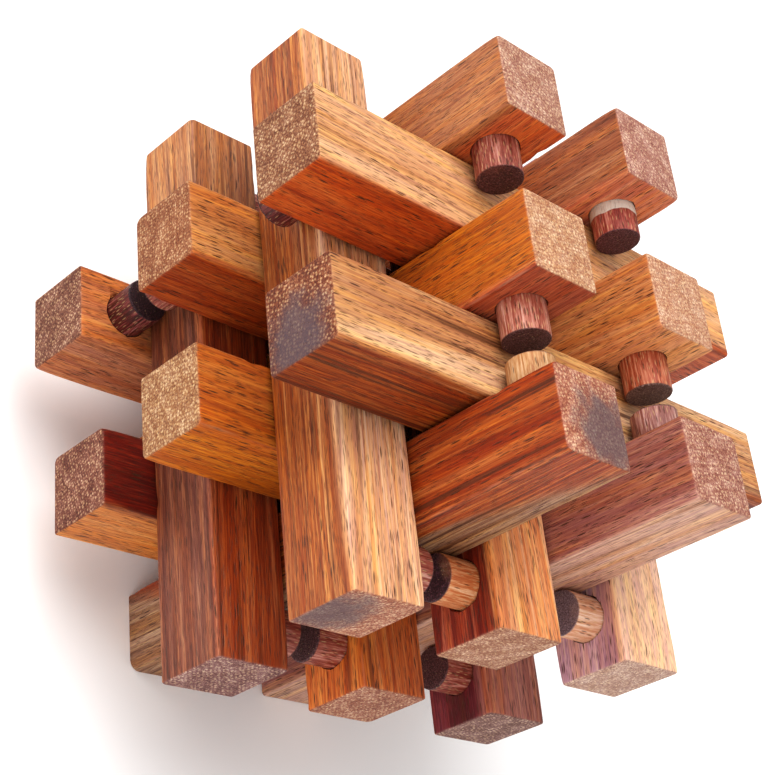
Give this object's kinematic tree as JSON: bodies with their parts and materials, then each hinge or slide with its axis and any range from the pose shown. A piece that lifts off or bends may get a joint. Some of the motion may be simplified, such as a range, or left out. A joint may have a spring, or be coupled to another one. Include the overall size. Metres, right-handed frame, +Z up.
{
  "type": "burr puzzle",
  "caption": "Interlocking wooden burr puzzle: square sticks cross at right angles and hook together with dowel pegs; the key sticks slide out to open it.",
  "frame": {"origin": "on the surface that the puzzle stands on, below the middle of the space that it fills with its loose key slipped out", "axes": "+X along the keys, +Y along the crossbars, +Z up along the uprights"},
  "size_m": [0.1124, 0.108, 0.108],
  "materials": {
    "wood_honey": "oiled honey-brown hardwood, straight grain with short dark pores",
    "wood_amber": "oiled amber hardwood, straight grain with short dark pores",
    "wood_russet": "oiled russet hardwood with pale and dark stripes",
    "wood_umber": "oiled dark heartwood, purple-brown",
    "peg_wood": "dark reddish-brown dowel, sawn ends"
  },
  "bodies": {
    "cage": {"upright_1": "wood_honey", "upright_1_peg_top": "peg_wood", "upright_1_peg_bottom": "peg_wood", "upright_2": "wood_amber", "upright_2_peg_top": "peg_wood", "upright_2_peg_bottom": "peg_wood", "upright_3": "wood_russet", "upright_3_peg_top": "peg_wood", "upright_3_peg_bottom": "peg_wood", "upright_4": "wood_honey", "upright_4_peg_top": "peg_wood", "upright_4_peg_bottom": "peg_wood", "upright_5": "wood_amber", "upright_5_peg_top": "peg_wood", "upright_5_peg_bottom": "peg_wood", "upright_6": "wood_umber", "upright_6_peg_top": "peg_wood", "upright_6_peg_bottom": "peg_wood", "crossbar_1": "wood_honey", "crossbar_1_peg_front": "peg_wood", "crossbar_1_peg_back": "peg_wood", "crossbar_2": "wood_umber", "crossbar_2_peg_front": "peg_wood", "crossbar_2_peg_back": "peg_wood", "crossbar_3": "wood_russet", "crossbar_3_peg_front": "peg_wood", "crossbar_3_peg_back": "peg_wood", "crossbar_4": "wood_amber", "crossbar_4_peg_front": "peg_wood", "crossbar_4_peg_back": "peg_wood", "crossbar_5": "wood_honey", "crossbar_5_peg_front": "peg_wood", "crossbar_5_peg_back": "peg_wood", "crossbar_6": "wood_umber", "crossbar_6_peg_front": "peg_wood", "crossbar_6_peg_back": "peg_wood"},
    "key_1": {"key_1": "wood_honey", "key_1_peg": "peg_wood"},
    "key_2": {"key_2": "wood_honey", "key_2_peg": "peg_wood"},
    "key_3": {"key_3": "wood_honey", "key_3_peg": "peg_wood"},
    "key_4": {"key_4": "wood_amber", "key_4_peg": "peg_wood"},
    "key_5": {"key_5": "wood_russet", "key_5_peg": "peg_wood"},
    "key_6": {"key_6": "wood_umber", "key_6_peg": "peg_wood"}
  },
  "joints": [
    {"name": "key_1_slide", "type": "slide", "parent": "cage", "child": "key_1", "axis": [-1, 0, 0], "range_m": [0, 0.095]},
    {"name": "key_2_slide", "type": "slide", "parent": "cage", "child": "key_2", "axis": [1, 0, 0], "range_m": [0, 0.095]},
    {"name": "key_3_slide", "type": "slide", "parent": "cage", "child": "key_3", "axis": [-1, 0, 0], "range_m": [0, 0.095]},
    {"name": "key_4_slide", "type": "slide", "parent": "cage", "child": "key_4", "axis": [1, 0, 0], "range_m": [0, 0.095]},
    {"name": "key_5_slide", "type": "slide", "parent": "cage", "child": "key_5", "axis": [-1, 0, 0], "range_m": [0, 0.095]},
    {"name": "key_6_slide", "type": "slide", "parent": "cage", "child": "key_6", "axis": [1, 0, 0], "range_m": [-0.0044, 0.0906]}
  ]
}
